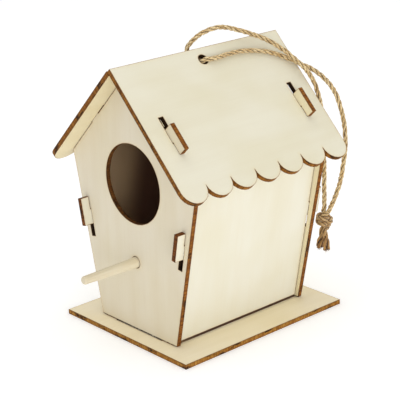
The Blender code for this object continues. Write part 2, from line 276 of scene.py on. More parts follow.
def plywood_face(name, pale, deep, grain, shift, reach=0.2 * MM):
    """Pale rotary-cut veneer: long faint grain, fine pores, a scorched line by each cut, and
    painted shade at the walls' feet and inside the house.

    The board attribute is (along the grain, across it, through the board) and rim is the
    distance to the nearest cut, all in millimetres. Grain is how strongly it shows.
    """
    made, tree, shader = new_material(name, 0.6)
    board = attribute(tree, "board")
    rim = attribute(tree, "rim", "Fac")

    figure = stretched_noise(tree, board, (0.012, 0.13, 0.5), 4.0, 0.5, shift)
    streaks = stretched_noise(tree, board, (0.03, 1.1, 1.0), 3.0, 0.6, shift + 3.1)
    clouds = stretched_noise(tree, board, (0.02, 0.03, 0.1), 2.0, 0.5, shift + 7.7)
    pores = stretched_noise(tree, board, (0.22, 5.0, 3.0), 2.0, 0.5, shift + 11.0)

    tone = mixed(tree, ranged(tree, figure, 0.3, 0.75, 0.0, 0.6 * grain), pale, deep)
    tone = mixed(tree, ranged(tree, streaks, 0.45, 0.75, 0.0, 0.3 * grain), tone, deep)
    tone = mixed(tree, ranged(tree, clouds, 0.35, 0.75, 0.0, 0.32), tone, KHAKI, "MULTIPLY")
    tone = mixed(tree, ranged(tree, pores, 0.66, 0.78, 0.0, 0.5 * grain), tone, PORE)

    waver = stretched_noise(tree, board, (0.4, 0.4, 0.3), 3.0, 0.6, shift + 17.0)
    width = ranged(tree, waver, 0.3, 0.75, 0.2, 0.85, smooth=False)
    near = ranged(tree, arithmetic(tree, "DIVIDE", rim, width), 0.0, 1.0, 0.8, 0.0)
    tone = mixed(tree, near, tone, SCORCH)
    tinge = ranged(tree, rim, 0.3, 2.6, 0.14, 0.0)
    tone = mixed(tree, tinge, tone, linear(220, 196, 134))

    # painted shade: a dark line along the walls' feet where they meet the base plate, above the
    # base plate only
    place = node(tree, "TexCoord").outputs["Object"]
    height = node(tree, "SeparateXYZ", {"Vector": place}).outputs["Z"]
    foot_shade = ranged(tree, height, BASE_TOP + 0.5 * MM, BASE_TOP + 1.1 * MM, 1.0, 0.0)
    foot_shade = arithmetic(tree, "MULTIPLY", foot_shade, arithmetic(tree, "GREATER_THAN", height, BASE_TOP))
    foot_shade = arithmetic(tree, "MULTIPLY", foot_shade, ranged(tree, waver, 0.3, 0.55, 0.35, 1.0))
    tone = mixed(tree, foot_shade, tone, SOOT_AND_SHADE)
    # painted shade on every face inside the house, reaching as far past the inner faces as reach
    # says
    shaded_inside = indoors(tree, place, reach)
    tone = mixed(tree, shaded_inside, tone, painted_indoor_shade(tree, place), "MULTIPLY")
    tree.links.new(tone, shader.inputs["Base Color"])

    bumped(tree, shader, arithmetic(tree, "ADD", streaks, pores), 0.00006, 0.4)
    return made


def burnt_edge(name, golden, toasted, shift):
    """A laser-cut edge: three plies toasted brown, sooty in places, with upright scratches.

    Its darkening attribute is 0 on a board's outline and up to 1 round its holes and slots: laser
    smoke trapped there, and painted shade inside them.
    """
    made, tree, shader = new_material(name, 0.85)
    shader.inputs["Specular IOR Level"].default_value = 0.2
    board = attribute(tree, "board")
    through = node(tree, "SeparateXYZ", {"Vector": board}).outputs["Z"]
    depth = arithmetic(tree, "ABSOLUTE", through, 0.0)

    patches = stretched_noise(tree, board, (0.09, 0.09, 0.35), 4.0, 0.6, shift)
    scratches = stretched_noise(tree, board, (1.6, 1.6, 0.12), 2.0, 0.6, shift + 5.0)
    fine = stretched_noise(tree, board, (0.5, 0.5, 1.1), 3.0, 0.6, shift + 9.0)

    tone = mixed(tree, ranged(tree, scratches, 0.35, 0.65), toasted, golden)
    tone = mixed(tree, ranged(tree, fine, 0.45, 0.7, 0.0, 0.8), tone, toasted)
    tone = mixed(tree, ranged(tree, patches, 0.54, 0.64, 0.0, 0.9), tone, SOOT_AND_SHADE)
    glue = arithmetic(tree, "ABSOLUTE", arithmetic(tree, "SUBTRACT", depth, PLY_LINE), 0.0)
    tone = mixed(tree, ranged(tree, glue, 0.03, 0.13, 0.45, 0.0), tone, SOOT_AND_SHADE)
    tone = mixed(tree, ranged(tree, depth, 1.10, 1.42, 0.0, 0.8), tone, linear(70, 38, 10))
    # darker round holes and slots: trapped laser smoke and painted shade inside them
    smoke_and_shade = attribute(tree, "smoke_and_shade", "Fac")
    tone = mixed(tree, arithmetic(tree, "MULTIPLY", smoke_and_shade, 0.9), tone, linear(40, 28, 16))
    tree.links.new(tone, shader.inputs["Base Color"])

    bumped(tree, shader, arithmetic(tree, "ADD", scratches, fine), 0.00012, 0.8)
    return made


def peg_wood():
    """Turned birch: grain along the peg, faint lathe rings."""
    made, tree, shader = new_material("peg_wood", 0.5)
    board = attribute(tree, "board")
    figure = stretched_noise(tree, board, (0.035, 0.55, 0.55), 4.0, 0.55, 2.0)
    pores = stretched_noise(tree, board, (0.25, 4.0, 4.0), 2.0, 0.5, 6.0)
    rings = stretched_noise(tree, board, (3.5, 0.05, 0.05), 1.0, 0.5, 9.0)
    pale, deep = linear(224, 214, 188), linear(205, 187, 151)
    tone = mixed(tree, ranged(tree, figure, 0.35, 0.7, 0.0, 0.45), pale, deep)
    tone = mixed(tree, ranged(tree, pores, 0.62, 0.75, 0.0, 0.25), tone, linear(186, 158, 112))
    tree.links.new(tone, shader.inputs["Base Color"])
    bumped(tree, shader, arithmetic(tree, "ADD", figure, rings), 0.00008, 0.5)
    return made


def jute():
    """Coarse plant fibre: gold and brown streaks that follow each ply's twist.

    The fibre attribute runs round and along a ply, in millimetres. The groove value is painted
    shade, most where the plies meet and between the yarns, and it also darkens the cut end; soil
    is how much handling has darkened it.
    """
    made, tree, shader = new_material("jute", 0.85)
    shader.inputs["Sheen Weight"].default_value = 0.15
    shader.inputs["Sheen Roughness"].default_value = 0.6
    fibre = attribute(tree, "fibre")
    streaks = stretched_noise(tree, fibre, (2.4, 2.4, 0.16), 4.0, 0.6, 1.0)
    lengths = stretched_noise(tree, fibre, (0.6, 0.6, 0.11), 3.0, 0.6, 4.0)
    threads = stretched_noise(tree, fibre, (6.0, 6.0, 0.4), 2.0, 0.6, 8.0)
    straw, gold, bark_and_shade = linear(252, 230, 180), linear(192, 152, 90), linear(84, 56, 22)
    tone = mixed(tree, ranged(tree, streaks, 0.4, 0.6), gold, straw)
    tone = mixed(tree, ranged(tree, lengths, 0.5, 0.7, 0.0, 0.7), tone, gold)
    tone = mixed(tree, ranged(tree, threads, 0.52, 0.68, 0.0, 0.85), tone, bark_and_shade)
    # painted shade between the plies and yarns, and the dark stretch at the cut
    groove = attribute(tree, "groove", "Fac")
    tone = mixed(tree, ranged(tree, groove, 0.25, 0.85, 0.0, 0.9), tone, bark_and_shade)
    soil = attribute(tree, "soil", "Fac")
    tone = mixed(tree, soil, tone, linear(190, 155, 105), "MULTIPLY")
    tree.links.new(tone, shader.inputs["Base Color"])
    bumped(tree, shader, arithmetic(tree, "ADD", streaks, threads), 0.00025, 0.9)
    return made


# ---- boards -------------------------------------------------------------------------

WELD = 1e-6
ROUNDING = 0.10                # mm, the burnt-away corner between a face and its edge
PLY_LINE = 0.70                # mm from the middle of a board to its glue lines
PLY_GROOVE = 0.05
OUTLINE_STEP = 1.6             # mm between points along a cut
RINGS = (0.5, 1.1, 2.2)        # mm, rows of points inside each cut
FIELD_STEP = 7.0               # mm between points in the middle of a face
RIM_LIMIT = 6.0
SLOT_FIT = 0.15                # mm, how much closer a slot's sides come than in the CAD
SMOKE_AND_SHADE_SPREAD = 150.0           # mm, a hole this far round gets half of the darkening: trapped smoke and painted shade
SHEET_SHIFT = 7.0              # how far along the veneer sheet each board was cut
SHADE_UNDER_WALLS = 3.1 * MM         # the painted shade on the base reaches right out under the walls


def turned_edges(source, out):
    """The closed loops round the face that looks along out, material on the left."""
    shape = bmesh.new()
    shape.from_mesh(source.data)
    bmesh.ops.remove_doubles(shape, verts=shape.verts, dist=WELD)
    shape.normal_update()
    faces = {f for f in shape.faces if f.normal.dot(out) > 0.999}
    follows = {}
    for face in faces:
        for loop in face.loops:
            if sum(other in faces for other in loop.edge.link_faces) == 1:
                follows[loop.vert.index] = loop.link_loop_next.vert.index
    places = [v.co.copy() for v in shape.verts]
    shape.free()
    loops = []
    while follows:
        first = next(iter(follows))
        loop = []
        while first in follows:
            loop.append(places[first])
            first = follows.pop(first)
        loops.append(loop)
    return loops


def without_straight_points(loop):
    """The loop's corners only."""
    before, after = np.roll(loop, 1, axis=0), np.roll(loop, -1, axis=0)
    one, two = loop - before, after - loop
    bend = one[:, 0] * two[:, 1] - one[:, 1] * two[:, 0]
    lengths = np.linalg.norm(one, axis=1) * np.linalg.norm(two, axis=1)
    return loop[abs(bend) > 0.002 * lengths]


def divided(loop, step):
    """The loop with points added so that no side is longer than step."""
    found = []
    for one, two in zip(loop, np.roll(loop, -1, axis=0)):
        pieces = max(1, ceil(np.linalg.norm(two - one) / step))
        found += [one + (two - one) * k / pieces for k in range(pieces)]
    return np.array(found)


def left_normals(loop):
    """The direction into the material at each point, longer at corners so sides stay even."""
    one = loop - np.roll(loop, 1, axis=0)
    two = np.roll(loop, -1, axis=0) - loop
    one /= np.linalg.norm(one, axis=1, keepdims=True)
    two /= np.linalg.norm(two, axis=1, keepdims=True)
    left_one = np.stack([-one[:, 1], one[:, 0]], axis=1)
    left_two = np.stack([-two[:, 1], two[:, 0]], axis=1)
    share = 1 + (left_one * left_two).sum(axis=1, keepdims=True)
    return (left_one + left_two) / np.maximum(share, 0.35)


def is_hole(loop):
    """The loops round holes run clockwise."""
    x, y = loop[:, 0], loop[:, 1]
    return (x * np.roll(y, -1) - y * np.roll(x, -1)).sum() < 0


def hole_smoke_and_shade(loop):
    """0 for a board's outline; for a hole, more the smaller it is: trapped laser smoke and
    painted shade.
    """
    around = np.linalg.norm(loop - np.roll(loop, 1, axis=0), axis=1).sum()
    return float(np.clip(1.5 - around / SMOKE_AND_SHADE_SPREAD, 0, 1)) if is_hole(loop) else 0.0


def is_slot(loop):
    """A hole with four corners."""
    return len(loop) == 4 and is_hole(loop)


def narrowed(slot, fit):
    """A slot with its long sides moved in by fit; its ends stay, so hooks keep their travel."""
    sides = np.roll(slot, -1, axis=0) - slot
    lengthways = sides[np.linalg.norm(sides, axis=1).argmax()]
    lengthways = lengthways / np.linalg.norm(lengthways)
    moved = left_normals(slot) * -fit
    return slot + moved - np.outer(moved @ lengthways, lengthways)


def distance_to(points, loops):
    """Each point's distance to the nearest side of the loops."""
    nearest = np.full(len(points), 1e9)
    for loop in loops:
        for one, two in zip(loop, np.roll(loop, -1, axis=0)):
            side = two - one
            share = np.clip((points - one) @ side / (side @ side), 0, 1)
            gap = np.linalg.norm(points - one - share[:, None] * side, axis=1)
            nearest = np.minimum(nearest, gap)
    return nearest


def inside(points, loops):
    """True for each point with material round it, by counting the sides to its right."""
    within = np.zeros(len(points), bool)
    for loop in loops:
        for one, two in zip(loop, np.roll(loop, -1, axis=0)):
            spans = (one[1] > points[:, 1]) != (two[1] > points[:, 1])
            rise = two[1] - one[1] if two[1] != one[1] else 1.0
            cross = one[0] + (points[:, 1] - one[1]) * (two[0] - one[0]) / rise
            within ^= spans & (points[:, 0] < cross)
    return within


def face_points(corners, loops):
    """Points for a face: rows along each cut, then a wide field in the middle."""
    rows = []
    for ring in RINGS:
        for loop in loops:
            row = loop + left_normals(loop) * ring
            rows.append(row[distance_to(row, corners) > ring * 0.93])
    low = np.min([loop.min(axis=0) for loop in loops], axis=0)
    high = np.max([loop.max(axis=0) for loop in loops], axis=0)
    counts = np.maximum(2, np.ceil((high - low) / FIELD_STEP)).astype(int)
    grid = np.stack(np.meshgrid(*[
        np.linspace(low[k], high[k], counts[k]) for k in (0, 1)
    ]), axis=-1).reshape(-1, 2)
    clear = (distance_to(grid, corners) > RINGS[-1] * 1.5) & inside(grid, corners)
    return np.concatenate([*rows, grid[clear]])


class Sheet:
    """A board's points as they are added, with their distance to a cut and their darkening round
    holes: laser smoke and painted shade.
    """

    def __init__(self):
        self.places, self.rims, self.smoke_and_shade = [], [], []

    def add(self, points, height, rims, smoke_and_shade=0.0):
        """Adds points at one height and returns the number of the first."""
        first = len(self.places)
        self.places.extend((x, y, height) for x, y in points)
        self.rims.extend(rims)
        self.smoke_and_shade.extend([smoke_and_shade] * len(points))
        return first


def cut_edge(sheet, loops, half):
    """The faces of every cut edge, and the first points of its top and bottom rows."""
    # how far in and how far up each row of the edge lies
    side = [
        (ROUNDING, half), (ROUNDING * 0.29, half - ROUNDING * 0.29), (0.0, half - ROUNDING),
        (0.0, PLY_LINE + PLY_GROOVE), (PLY_GROOVE, PLY_LINE), (0.0, PLY_LINE - PLY_GROOVE),
    ]
    side += [(inset, -height) for inset, height in reversed(side)]
    rows = []
    for inset, height in side:
        row = []
        for loop in loops:
            points = loop + left_normals(loop) * inset
            row.append(sheet.add(points, height, [0.0] * len(loop), hole_smoke_and_shade(loop)))
        rows.append(row)
    faces = []
    for upper, lower in zip(rows, rows[1:]):
        for loop, one, two in zip(loops, upper, lower):
            count = len(loop)
            for k in range(count):
                after = (k + 1) % count
                faces.append((one + k, two + k, two + after, one + after))
    return faces, rows[0], rows[-1]


def face_triangles(cut, inner):
    """Triangles over a face, as numbers of the cut's points and then the inner points."""
    points = np.concatenate([*cut, inner])
    links, first = [], 0
    for loop in cut:
        count = len(loop)
        links += [(first + k, first + (k + 1) % count) for k in range(count)]
        first += count
    solved, _, triangles, given, *_ = delaunay_2d_cdt(
        [Vector(p) for p in points], links, [], 0, 1e-7)
    numbers = [min(ids) if ids else None for ids in given]
    middles = np.array([np.mean([solved[k] for k in t], axis=0) for t in triangles])
    return [
        [numbers[k] for k in triangle]
        for triangle, kept in zip(triangles, inside(middles, cut)) if kept
    ]


def both_faces(sheet, corners, loops, half, top_row, bottom_row):
    """The triangles of the outer and then of the inner face, on the cut edge's rows."""
    inner = face_points(corners, loops)
    rims = np.minimum(distance_to(inner, corners), RIM_LIMIT)
    cut = [loop + left_normals(loop) * ROUNDING for loop in loops]
    triangles = face_triangles(cut, inner)
    faces = []
    for height, row, turned in ((half, top_row, False), (-half, bottom_row, True)):
        numbers = []
        for loop, start in zip(loops, row):
            numbers += [start + k for k in range(len(loop))]
        start = sheet.add(inner, height, rims)
        numbers += [start + k for k in range(len(inner))]
        for triangle in triangles:
            corner = [numbers[k] for k in triangle]
            faces.append(tuple(reversed(corner)) if turned else tuple(corner))
    return faces


def board(name, cad_node, outward, grain, faces_out_in, edge, body, slot, fit=SLOT_FIT):
    """A plywood board cut to its CAD node's outline, with burnt, rounded, ply-lined edges."""
    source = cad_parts[cad_node]
    out = broad_normal(source, outward)
    along = (Vector(grain) - out * Vector(grain).dot(out)).normalized()
    centre = np.array(sum((Vector(p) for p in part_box(cad_node)), Vector()) / 2)
    axes = np.array([along, out.cross(along), out])

    outline = [(np.array(loop) - centre) @ axes.T / MM for loop in turned_edges(source, out)]
    every = (np.array([v.co for v in source.data.vertices]) - centre) @ axes[2] / MM
    high, low = np.concatenate(outline)[:, 2].mean(), every.min()
    middle, half = (high + low) / 2, (high - low) / 2
    corners = [without_straight_points(loop[:, :2]) for loop in outline]
    corners = [narrowed(loop, fit) if is_slot(loop) else loop for loop in corners]
    loops = [divided(loop, OUTLINE_STEP) for loop in corners]

    sheet = Sheet()
    edge_faces, top_row, bottom_row = cut_edge(sheet, loops, half)
    faces = both_faces(sheet, corners, loops, half, top_row, bottom_row)
    local = np.array(sheet.places)
    world = (local[:, :2] @ axes[:2] + (local[:, 2:] + middle) * axes[2]) * MM + centre
    mesh = bpy.data.meshes.new(name)
    mesh.from_pydata([tuple(p) for p in world], [], edge_faces + faces)
    # each board shows its own stretch of veneer
    own = np.append(centre[:2] / MM * SHEET_SHIFT, 0.0)
    point_values(mesh, "board", local + own)
    point_values(mesh, "rim", sheet.rims)
    point_values(mesh, "smoke_and_shade", sheet.smoke_and_shade)
    for finish in (edge, *faces_out_in):
        mesh.materials.append(finish)
    per_face = len(faces) // 2
    finishes = [0] * len(edge_faces) + [1] * per_face + [2] * per_face
    mesh.polygons.foreach_set("material_index", finishes)
    mesh.update()
    made = in_scene(name, mesh)
    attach(made, body)
    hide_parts(cad_node)


def boards():
    base_edge = burnt_edge("base_edge", linear(178, 130, 58), linear(136, 84, 26), 0.0)
    wall_edge = burnt_edge("wall_edge", linear(158, 100, 36), linear(108, 60, 18), 40.0)
    # a darker copy of the wall edge for the side boards: painted shade for the hooks' edges that
    # face away from the side light
    shaded_side_edge = burnt_edge("shaded_side_edge", linear(128, 74, 28), linear(84, 46, 16), 60.0)
    roof_edge = burnt_edge("roof_edge", linear(158, 104, 38), linear(110, 64, 18), 80.0)
    # Painted light and shade: the boards are one veneer, but each has its own tone, tuned to how
    # it shows under these lamps; the base and back are lighter to make up for the shade they get,
    # the front darker.
    front_face = plywood_face("front_veneer", linear(225, 216, 194), linear(212, 197, 165),
                              0.45, 2.0)
    back_face = plywood_face("back_veneer", linear(236, 226, 193), linear(221, 206, 166),
                             0.5, 8.0)
    side_face = plywood_face("side_veneer", linear(228, 224, 207), linear(220, 210, 182),
                             0.35, 14.0)
    roof_face = plywood_face("roof_veneer", linear(226, 221, 200), linear(215, 205, 178),
                             0.3, 21.0)
    # painted light: a yellower copy of the roof veneer for the undersides, tuned to how they show
    # lit from below
    roof_underside_painted = plywood_face("roof_underside_painted_veneer", linear(234, 223, 189),
                             linear(222, 205, 162), 0.4, 26.0)
    base_face = plywood_face("base_veneer", linear(250, 238, 208), linear(236, 219, 176),
                             0.4, 29.0, reach=SHADE_UNDER_WALLS)
    forward, right, up = (0, -1, 0), (1, 0, 0), (0, 0, 1)
    board("base_board", "base_plate", up, forward, (base_face, base_face), base_edge,
          "house", "base_plywood", fit=0.0)
    board("front_board", "front_panel", forward, up, (front_face, front_face), wall_edge,
          "house", "wall_plywood")
    board("back_board", "back_panel", (0, 1, 0), up, (back_face, back_face), wall_edge,
          "house", "wall_plywood")
    board("right_side_board", "right_side_panel", right, up, (side_face, side_face), shaded_side_edge,
          "house", "side_plywood")
    board("left_side_board", "left_side_panel", (-1, 0, 0), up, (side_face, side_face), shaded_side_edge,
          "house", "side_plywood")
    board("right_roof_board", "right_roof_panel", (1, 0, 1), forward, (roof_face, roof_underside_painted),
          roof_edge, "right_roof", "roof_plywood")
    board("left_roof_board", "left_roof_panel", (-1, 0, 1), forward, (roof_face, roof_underside_painted),
          roof_edge, "left_roof", "roof_plywood")


# ---- perch --------------------------------------------------------------------------

PERCH_SIDES = 48
PERCH_ROWS = 40
PERCH_TIP = 0.76               # its radius at the tip, as a share of the radius at the root
PERCH_CHAMFER = 0.35           # mm, at the end inside the house
PERCH_ROUNDING = 1.2           # mm, at the end that birds see
PERCH_ROUND_STEPS = 6
PERCH_WAVER = 0.035            # mm, how far the turned surface strays from true


def perch_profile(root, length, seat):
    """Radius and distance from the inner end, in mm; the taper starts at the seat."""
    tip = root * PERCH_TIP
    shoulder = length - PERCH_ROUNDING
    profile = [(0.0, 0.0), (root - PERCH_CHAMFER, 0.0), (root, PERCH_CHAMFER), (root, seat)]
    for row in range(1, PERCH_ROWS):
        share = row / PERCH_ROWS
        profile.append((root + (tip - root) * share, seat + (shoulder - seat) * share))
    for step in range(PERCH_ROUND_STEPS + 1):
        turn = pi / 2 * step / PERCH_ROUND_STEPS
        radius = tip - PERCH_ROUNDING + PERCH_ROUNDING * cos(turn)
        profile.append((radius, shoulder + PERCH_ROUNDING * sin(turn)))
    profile.append((0.0, length))
    return profile


def turned_points(profile):
    """Points along and round the peg, in mm, with faint lathe marks."""
    points = []
    for radius, where in profile:
        for k in range(PERCH_SIDES if radius > 0 else 1):
            turn = 2 * pi * k / PERCH_SIDES
            stray = PERCH_WAVER * (sin(where * 1.7) * 0.5 + sin(where * 0.53 + 3 * turn))
            spread = min(radius, max(0.0, radius - PERCH_WAVER + stray * 0.5))
            points.append((where, spread * cos(turn), spread * sin(turn)))
    return points


def turned_faces(profile):
    """The faces between the profile's rings; a ring of no radius is one point."""
    starts, first = [], 0
    for radius, _ in profile:
        starts.append(first)
        first += PERCH_SIDES if radius > 0 else 1
    faces = []
    for one, two, near, far in zip(starts, starts[1:], profile, profile[1:]):
        for k in range(PERCH_SIDES):
            after = (k + 1) % PERCH_SIDES
            if near[0] == 0:
                faces.append((one, two + k, two + after))
            elif far[0] == 0:
                faces.append((one + after, one + k, two))
            else:
                faces.append((one + k, two + k, two + after, one + after))
    return faces


def perch_peg():
    """The tapered peg, with its size and place from the CAD node."""
    low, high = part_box("perch")
    axis_x, axis_z = (low.x + high.x) / 2, (low.z + high.z) / 2
    panel_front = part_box("front_panel")[0].y
    profile = perch_profile(
        (high.x - low.x) / 2 / MM, (high.y - low.y) / MM, (high.y - panel_front) / MM)
    points = turned_points(profile)
    places = [(axis_x + x * MM, high.y - where * MM, axis_z + z * MM) for where, x, z in points]
    mesh = bpy.data.meshes.new("perch_peg")
    mesh.from_pydata(places, [], turned_faces(profile))
    point_values(mesh, "board", points)
    mesh.materials.append(peg_wood())
    mesh.shade_smooth()
    mesh.update()
    made = in_scene("perch_peg", mesh)
    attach(made, "house")
    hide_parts("perch")


# ---- cord ---------------------------------------------------------------------------

class Tubes:
    """Tubes gathered into one mesh, with the jute's fibre, painted groove shade and soil values.
    """

    def __init__(self):
        self.places, self.fibre, self.groove, self.soil, self.faces = [], [], [], [], []
        self.count = 0

    def add(self, rings, fibre, groove, soil):
        """Rings is points along by points round by 3, in mm; soil has one value per ring."""
        rows, sides = rings.shape[:2]
        first = self.count
        self.places.append(rings.reshape(-1, 3))
        self.fibre.append(fibre.reshape(-1, 3))
        self.groove.append(groove.reshape(-1))
        self.soil.append(np.repeat(soil, sides))
        self.count += rows * sides
        for row in range(rows - 1):
            one, two = first + row * sides, first + (row + 1) * sides
            for k in range(sides):
                after = (k + 1) % sides
                self.faces.append((one + k, one + after, two + after, two + k))
        last = first + (rows - 1) * sides
        self.faces.append(tuple(first + k for k in reversed(range(sides))))
        self.faces.append(tuple(last + k for k in range(sides)))

    def object(self, name, finish):
        mesh = bpy.data.meshes.new(name)
        places = np.concatenate(self.places) * MM
        mesh.from_pydata([tuple(p) for p in places], [], self.faces)
        point_values(mesh, "fibre", np.concatenate(self.fibre))
        point_values(mesh, "groove", np.concatenate(self.groove))
        point_values(mesh, "soil", np.concatenate(self.soil))
        mesh.materials.append(finish)
        mesh.shade_smooth()
        mesh.update()
        return in_scene(name, mesh)


def smooth_route(route, spacing):
    """Points a spacing apart along the natural cubic spline through a route."""
    given = np.array(route, dtype=float)
    count = len(given)
    knots = np.r_[0.0, np.cumsum(np.linalg.norm(np.diff(given, axis=0), axis=1))]
    step = np.diff(knots)
    system = np.eye(count)
    right_side = np.zeros((count, 3))
    for row in range(1, count - 1):
        system[row, row - 1] = step[row - 1]
        system[row, row] = 2 * (step[row - 1] + step[row])
        system[row, row + 1] = step[row]
        after = (given[row + 1] - given[row]) / step[row]
        before = (given[row] - given[row - 1]) / step[row - 1]
        right_side[row] = 6 * (after - before)
    bend = np.linalg.solve(system, right_side)
    where = np.linspace(0.0, knots[-1], max(2, round(knots[-1] / spacing) + 1))
    piece = np.clip(np.searchsorted(knots, where) - 1, 0, count - 2)
    a = ((knots[piece + 1] - where) / step[piece])[:, None]
    b = 1.0 - a
    curved = (a**3 - a) * bend[piece] + (b**3 - b) * bend[piece + 1]
    return a * given[piece] + b * given[piece + 1] + curved * step[piece, None] ** 2 / 6


def carried_frames(line):
    """Two directions square to a line at each of its points, carried along without twist."""
    along = np.gradient(line, axis=0)
    along /= np.linalg.norm(along, axis=1, keepdims=True)
    start = np.array((0.0, 0.0, 1.0)) if abs(along[0][2]) < 0.8 else np.array((1.0, 0.0, 0.0))
    sides = []
    for direction in along:
        start = start - direction * (start @ direction)
        start /= np.linalg.norm(start)
        sides.append(start)
    sides = np.array(sides)
    return sides, np.cross(along, sides), along


def distances_along(line):
    return np.r_[0.0, np.cumsum(np.linalg.norm(np.diff(line, axis=0), axis=1))]


def soil_along(where, soil, open_end):
    """How soiled the cord is along its length: most where it has opened up."""
    return np.clip(where / SOIL_FADE, 0, 1) * (soil + (1 - soil) * open_end)


def ply_radius(around, spin, done, open_end, ply):
    """A ply's radius along and round it, and its yarns' lobes, from -1 to 1."""
    lobes = np.cos(YARNS * (around - spin))
    wander = 0.05 * np.cos(2 * around + 0.9 * done + 2.1 * ply)
    swell = 0.07 * np.sin(0.57 * done + 2.3 * ply) + 0.04 * np.sin(1.9 * done + 4.1 * ply)
    radius = PLY_RADIUS * (1 + YARN_DEPTH * lobes + wander + swell)
    return radius * (1 + FRAY_SWELL * open_end), lobes


def tube_rings(centre, side, up, around, radius):
    """Rings of points round a centre line."""
    return centre[:, None] + radius[..., None] * (
        np.cos(around)[None, :, None] * side[:, None]
        + np.sin(around)[None, :, None] * up[:, None]
    )


def twist(tubes, line, start=0.0, fray=0.0, soil=0.0):
    """The plies twisted unevenly round a line; fray opens and unlays its far end."""
    side, up, _ = carried_frames(line)
    where = distances_along(line)
    open_end = np.clip((where - where[-1]) / FRAY_LENGTH + 1, 0, 1) * fray
    cut = np.clip(where - (where[-1] - CUT_DEPTH), 0, 1)[:, None] * fray
    done = where + start
    laid = np.cumsum(np.diff(where, prepend=0.0) * (1 - UNLAID * open_end))
    turned = start + laid
    angle = 2 * pi / TWIST_PITCH * (
        turned + 0.7 * np.sin(0.31 * turned) + 0.5 * np.sin(0.83 * turned))
    spin = -2 * pi * laid[:, None] / YARN_PITCH
    around = np.linspace(0, 2 * pi, PLY_SIDES, endpoint=False)
    shown = around[None] - spin
    offset = (PLY_OFFSET * (1 + FRAY_SPREAD * open_end))[:, None]
    for ply in range(PLIES):
        turn = (angle + 2 * pi * ply / PLIES)[:, None]
        centre = line + offset * (np.cos(turn) * side + np.sin(turn) * up)
        ply_side, ply_up, _ = carried_frames(centre)
        radius, lobes = ply_radius(around[None], spin, done[:, None], open_end[:, None], ply)
        rings = tube_rings(centre, ply_side, ply_up, around, radius)
        fibre = np.stack([
            np.cos(shown) * PLY_RADIUS + 3.0 * ply, np.sin(shown) * PLY_RADIUS,
            np.broadcast_to(done[:, None], shown.shape),
        ], axis=-1)
        # painted shade: darkest where the plies meet and between the yarns; also dark at the cut
        inward = ((line - centre)[:, None] * (rings - centre[:, None])).sum(axis=-1)
        inward /= np.linalg.norm(line - centre, axis=1)[:, None] * radius
        groove = np.clip(0.5 + 0.7 * inward + 0.15 * (1 - lobes) + cut, 0, 1)
        tubes.add(rings, fibre, groove, soil_along(where, soil, open_end))


HAIR_STEPS = np.linspace(0, 1, 5)[:, None]
HAIR_SIDES = 3
HAIR_LEAN = 0.75               # how far loose fibres lie along the cord
HAIR_LENGTH = 1.5              # mm, the longest
TAIL_HAIR_LENGTH = 1.6
RUN_HAIRS = 260
TAIL_HAIRS = 90
BRUSH_HAIRS = 70


def add_hair(tubes, hair, width, soil=0.0):
    """One fibre along a line of points."""
    side, up, _ = carried_frames(hair)
    around = np.linspace(0, 2 * pi, HAIR_SIDES, endpoint=False)
    rings = tube_rings(hair, side, up, around, width[:, None])
    tubes.add(rings, rings * 0.7, np.zeros(rings.shape[:2]), np.full(len(hair), soil))


def loose_fibres(tubes, line, count, dice, longest):
    """Fine hairs that stand off a cord."""
    side, up, along = carried_frames(line)
    for _ in range(count):
        at = dice.randint(1, len(line) - 1)
        turn = dice.uniform(0, 2 * pi)
        outward = cos(turn) * side[at] + sin(turn) * up[at]
        forward = along[at] * (1 if dice.uniform() < 0.5 else -1)
        root = line[at] + outward * CORD_DIAMETER * 0.42
        length = dice.uniform(0.35, 1.0) * longest
        aim = forward * HAIR_LEAN + outward * (1 - HAIR_LEAN) * 1.6 + dice.normal(0, 0.22, 3)
        curl = dice.normal(0, 0.3, 3)
        hair = root + aim * HAIR_STEPS * length + curl * HAIR_STEPS**2 * length
        add_hair(tubes, hair, dice.uniform(0.035, 0.06) * (1.05 - 0.8 * HAIR_STEPS[:, 0]))


def frayed_end(tubes, line, dice):
    """A brush of fibres where the cord was cut."""
    side, up, along = carried_frames(line)
    for _ in range(BRUSH_HAIRS):
        turn = dice.uniform(0, 2 * pi)
        spread = dice.uniform(0.0, 1.25)
        outward = cos(turn) * side[-1] + sin(turn) * up[-1]
        root = line[-4] + outward * spread
        length = dice.uniform(1.2, 3.0)
        aim = along[-1] + outward * spread * 0.28 + dice.normal(0, 0.08, 3)
        curl = dice.normal(0, 0.12, 3)
        hair = root + aim * HAIR_STEPS * length + curl * HAIR_STEPS**2 * length
        width = dice.uniform(0.05, 0.1) * (1.05 - 0.7 * HAIR_STEPS[:, 0])
        add_hair(tubes, hair, width, soil=1.0)


# the knot: two strands laid as a loose overhand knot, then drawn tight

KNOT_STRAND = 2.95             # mm, a strand squeezed in the knot
KNOT_POINTS = 50
KNOT_LENGTH = 50.0
KNOT_LOOSENESS = 4.0           # how many times its size the knot starts at
KNOT_YAW = 1.6                 # which way round it is tied, in radians
KNOT_ROUNDS = 900
DRAWN_BY = 0.6 * KNOT_ROUNDS   # the round by which the held points are in place
STRETCH_PULL = 0.27            # how quickly each strand keeps its length,
SMOOTHING = 0.08               # loses its kinks,
PAIR_PULL = 0.25               # keeps beside the other strand,
GATHERING = 0.02               # draws in to the knot's middle
PUSH_APART = 0.225             # and gives way where strands overlap


